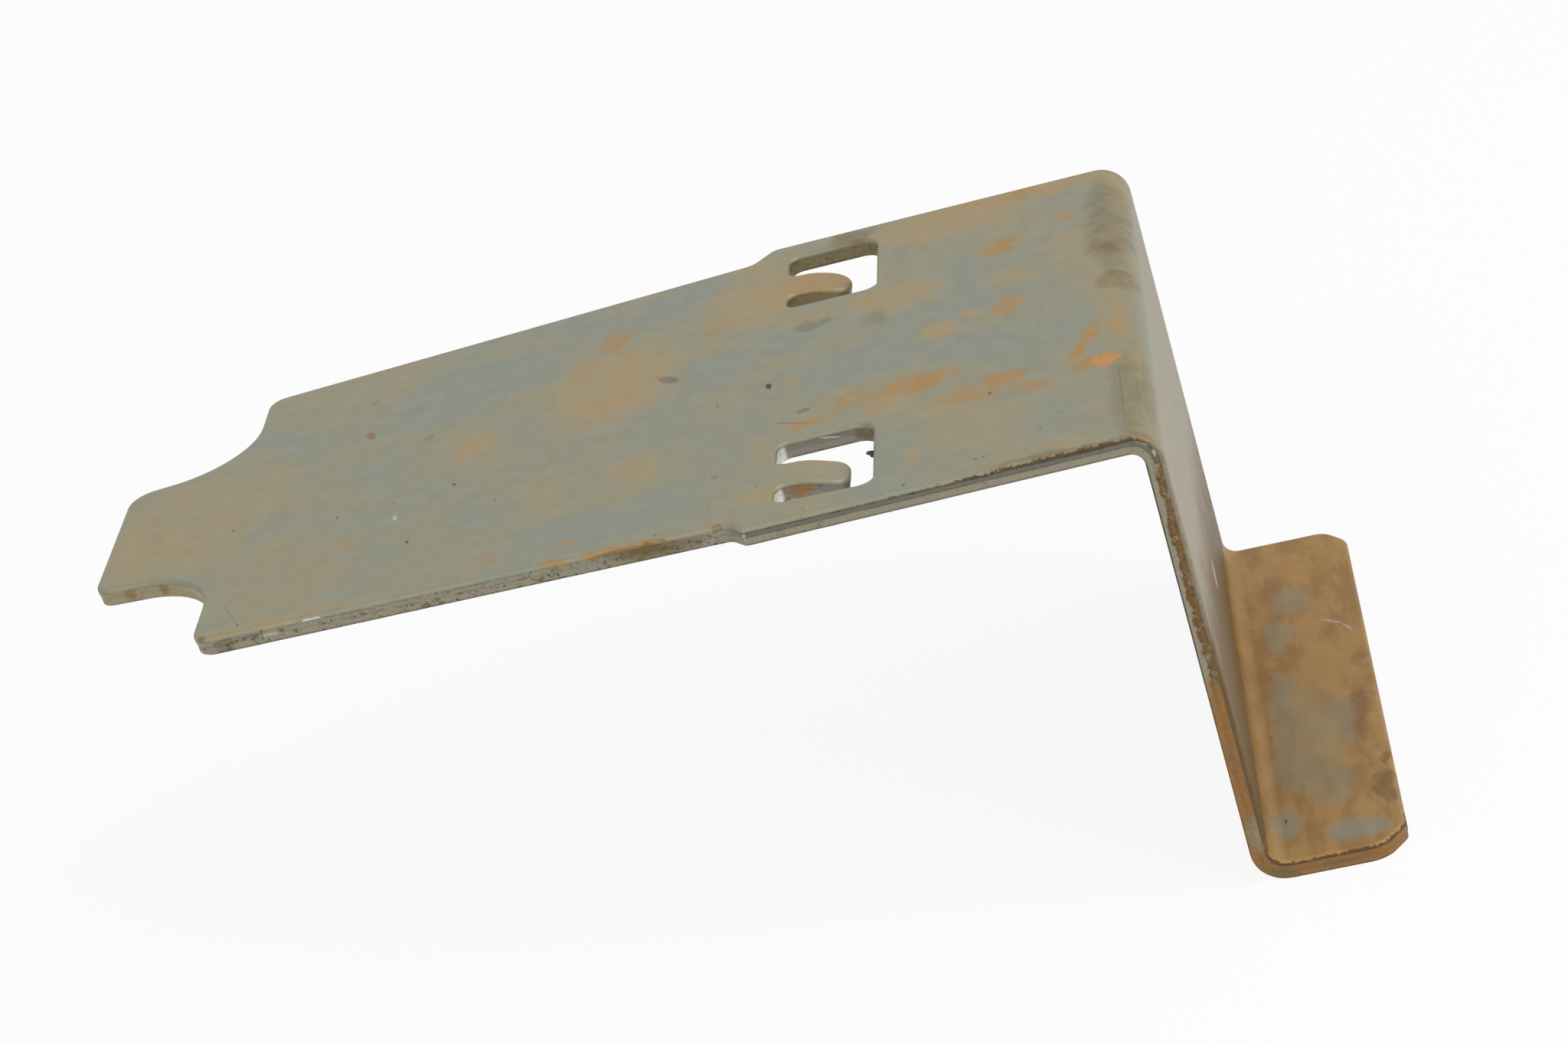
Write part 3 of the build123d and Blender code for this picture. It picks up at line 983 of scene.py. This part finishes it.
# Cut edges. Depths are from 0 at the upper face to 1 at the lower.
edgeFinish = {
    "metallic": 0.35,
    "specular": 0.35,
    "roughness": (0.36, 0.62),      # of the shear and of the tear
    "bump": 0.00002,
    "tearDepth": (0.53, 0.60),
    "tearWander": 0.10,
    "pitted": 0.85,                 # strongest share of each tint
    "farWindow": 0.9,
    "nearWindow": 0.6,
    "slotEndHighlight": 0.9,
    "tongueWall": 0.8,
    "rusty": 0.8,
    "lowWeb": 0.9,
    # strength of the painted shade lines in the creases at the rim and at the tear's step
    "rimCreaseShade": 0.85,
    "tearStepShade": 0.6,
    "lineShare": {"farWindow": 0.0, "pitted": 0.55, "nearWindow": 0.35, "tongueWall": 0.3},
    "lineOnWeb": 0.15,
    "pits": 0.75,
    "webUp": (-0.9, -2.0),
    "lowWebUp": (-10.0, -13.0),
    "toothShade": (0.86, 1.12),
}


def edgeZones(tree, place):
    # 1 on each stretch of edge that has a tint of its own, by the tint's name
    x, y, _ = axes(tree, place)
    inWindow = times(tree, ramp(tree, x, -20.2, -19.8), ramp(tree, x, -13.9, -14.2))
    inWindow = times(tree, inWindow, ramp(tree, reckon(tree, "ABSOLUTE", y), 16.6, 16.2))
    near = times(tree, inWindow, ramp(tree, y, 0.1, -0.1))
    return {
        "pitted": times(tree, ramp(tree, x, -21.0, -22.0), ramp(tree, y, -13.0, -14.0)),
        "farWindow": times(tree, inWindow, ramp(tree, y, -0.1, 0.1)),
        "nearWindow": near,
        # the near slot's round end, painted near white as a painted highlight
        "slotEndHighlight": times(tree, near, ramp(tree, x, -18.95, -19.2)),
        "tongueWall": times(tree, ramp(tree, x, -50.0, -51.0), ramp(tree, y, -12.5, -12.0)),
    }


def webEdge(tree, place, depth, rustPatch, setup):
    # rust eats in from the outer side, bare torn metal is left along the inner side
    z = axes(tree, place)[2]
    fine = grain(tree, place, 2.6, 6.0, 0.75)
    tone = blendColour(tree, ramp(tree, fine, 0.50, 0.62), colour["rust"], colour["stone"])
    speckled = ramp(tree, grain(tree, place, 5.0, 5.0, 0.75), 0.53, 0.62, 0.0, 0.75)
    tone = blendColour(tree, speckled, tone, colour["crust"])
    inward = shaken(tree, depth, rustPatch, 0.8)
    tone = blendColour(tree, ramp(tree, inward, 0.62, 0.74), tone, colour["tear"])
    tone = blendColour(tree, ramp(tree, depth, 0.90, 0.97, 0.0, 0.7), tone, colour["dark"])
    orange = blendColour(tree, ramp(tree, fine, 0.46, 0.66), colour["wallOrange"], colour["olive"])
    lowWeb = reckon(tree, "ADD", z, times(tree, rustPatch, 6.0))
    lowWeb = times(tree, ramp(tree, lowWeb, *setup["lowWebUp"]), setup["lowWeb"])
    return blendColour(tree, lowWeb, tone, orange)


def addWallMarks(tree, place, base):
    x, y, z = axes(tree, place)
    wallPlace = tree.nodes.new("ShaderNodeCombineXYZ")
    for socket, value in zip(wallPlace.inputs, (x, z, y)):
        tree.links.new(value, socket)
    wallPlace = warped(tree, wallPlace.outputs[0], 2.2, 0.3)
    for hue, mask in markMasks(tree, wallPlace, wallMarks, *markFall["wall"]).items():
        base = blendColour(tree, mask, base, colour[hue])
    return base


def addCreaseShade(tree, place, base, depth, zones, onWeb, setup):
    # broken dark lines of painted shade in the creases at the rim and where the shear ends,
    # fainter on the web and wherever an edge has a tint of its own
    shown = ramp(tree, onWeb, 1.0, 0.0, setup["lineOnWeb"], 1.0)
    for name, low in setup["lineShare"].items():
        shown = times(tree, shown, ramp(tree, zones[name], 1.0, 0.0, low, 1.0))
    rim = line(tree, depth, 0.27, 0.10, 0.02)
    broken = ramp(tree, grain(tree, place, 2.0, 4.0, 0.7), 0.40, 0.62, 0.15, setup["rimCreaseShade"])
    base = blendColour(tree, times(tree, rim, broken, shown), base, colour["dark"])
    tear = line(tree, depth, 0.555, 0.05, 0.01)
    broken = ramp(tree, grain(tree, place, 1.4, 4.0, 0.7), 0.35, 0.6, 0.1, setup["tearStepShade"])
    return blendColour(tree, times(tree, tear, broken, shown), base, colour["dark"])


def pitDepth(tree, place, pittedZone, setup):
    # scattered pits, close together on the pitted edge
    distance, chance = cells(tree, warped(tree, place, 4.0, 0.15), 3.2)
    spare = reckon(tree, "SUBTRACT", chance, ramp(tree, pittedZone, 0.0, 1.0, 0.86, 0.60))
    return times(tree, ramp(tree, distance, 0.30, 0.14), ramp(tree, spare, 0.0, 0.2, 0.0, setup["pits"]))


def finishEdges(material, setup):
    tree, shader, place = startMaterial(material)
    z = axes(tree, place)[2]
    zones = edgeZones(tree, place)
    ragged = grain(tree, stretched(tree, place, (3.0, 3.0, 1.2)), 1.0, 4.0, 0.65)
    depth = shaken(tree, fact(tree, "depth"), ragged, setup["tearWander"])
    torn = ramp(tree, depth, *setup["tearDepth"])
    # the shear painted darker than the tear, as a painted reflection of darker surroundings
    base = blendColour(tree, torn, colour["shearGreyAndReflection"], colour["tear"])
    for name, zone in zones.items():
        base = blendColour(tree, times(tree, zone, setup[name]), base, colour[name])
    rustPatch = grain(tree, place, 1.3, 6.0, 0.68)
    rusty = times(tree, ramp(tree, rustPatch, 0.60, 0.70), setup["rusty"])
    base = blendColour(tree, rusty, base, colour["rust"])
    onWeb = ramp(tree, z, *setup["webUp"])
    base = blendColour(tree, onWeb, base, webEdge(tree, place, depth, rustPatch, setup))
    base = addWallMarks(tree, place, base)
    base = addCreaseShade(tree, place, base, depth, zones, onWeb, setup)
    pit = pitDepth(tree, place, zones["pitted"], setup)
    base = blendColour(tree, pit, base, colour["dark"])
    # dirt in the pitted edge
    dirt = grain(tree, stretched(tree, place, (0.8, 1, 1.4)), 3.0, 6.0, 0.75)
    dirt = times(tree, ramp(tree, dirt, 0.53, 0.62, 0.0, setup["pits"]), zones["pitted"])
    dirt = times(tree, dirt, ramp(tree, depth, 0.30, 0.42))
    base = blendColour(tree, dirt, base, colour["crust"])
    tooth = ramp(tree, grain(tree, place, 7.0, 4.0, 0.65), 0.2, 0.8, *setup["toothShade"])
    base = shaded(tree, base, tooth)
    rough = ramp(tree, torn, 0.0, 1.0, *setup["roughness"])
    relief = times(tree, grain(tree, place, 6.0, 4.0, 0.7), ramp(tree, torn, 0.0, 1.0, 0.25, 1.0))
    finishShader(tree, shader, base, rough, reckon(tree, "SUBTRACT", relief, pit), setup)


finishFaces(zincFace, faceFinish)
finishEdges(cutEdge, edgeFinish)
print("finishes made:", len(zincFace.node_tree.nodes), "and", len(cutEdge.node_tree.nodes), "nodes")

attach(skin, "root")
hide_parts("bracket")

bpy.context.scene.view_settings.view_transform = "Standard"
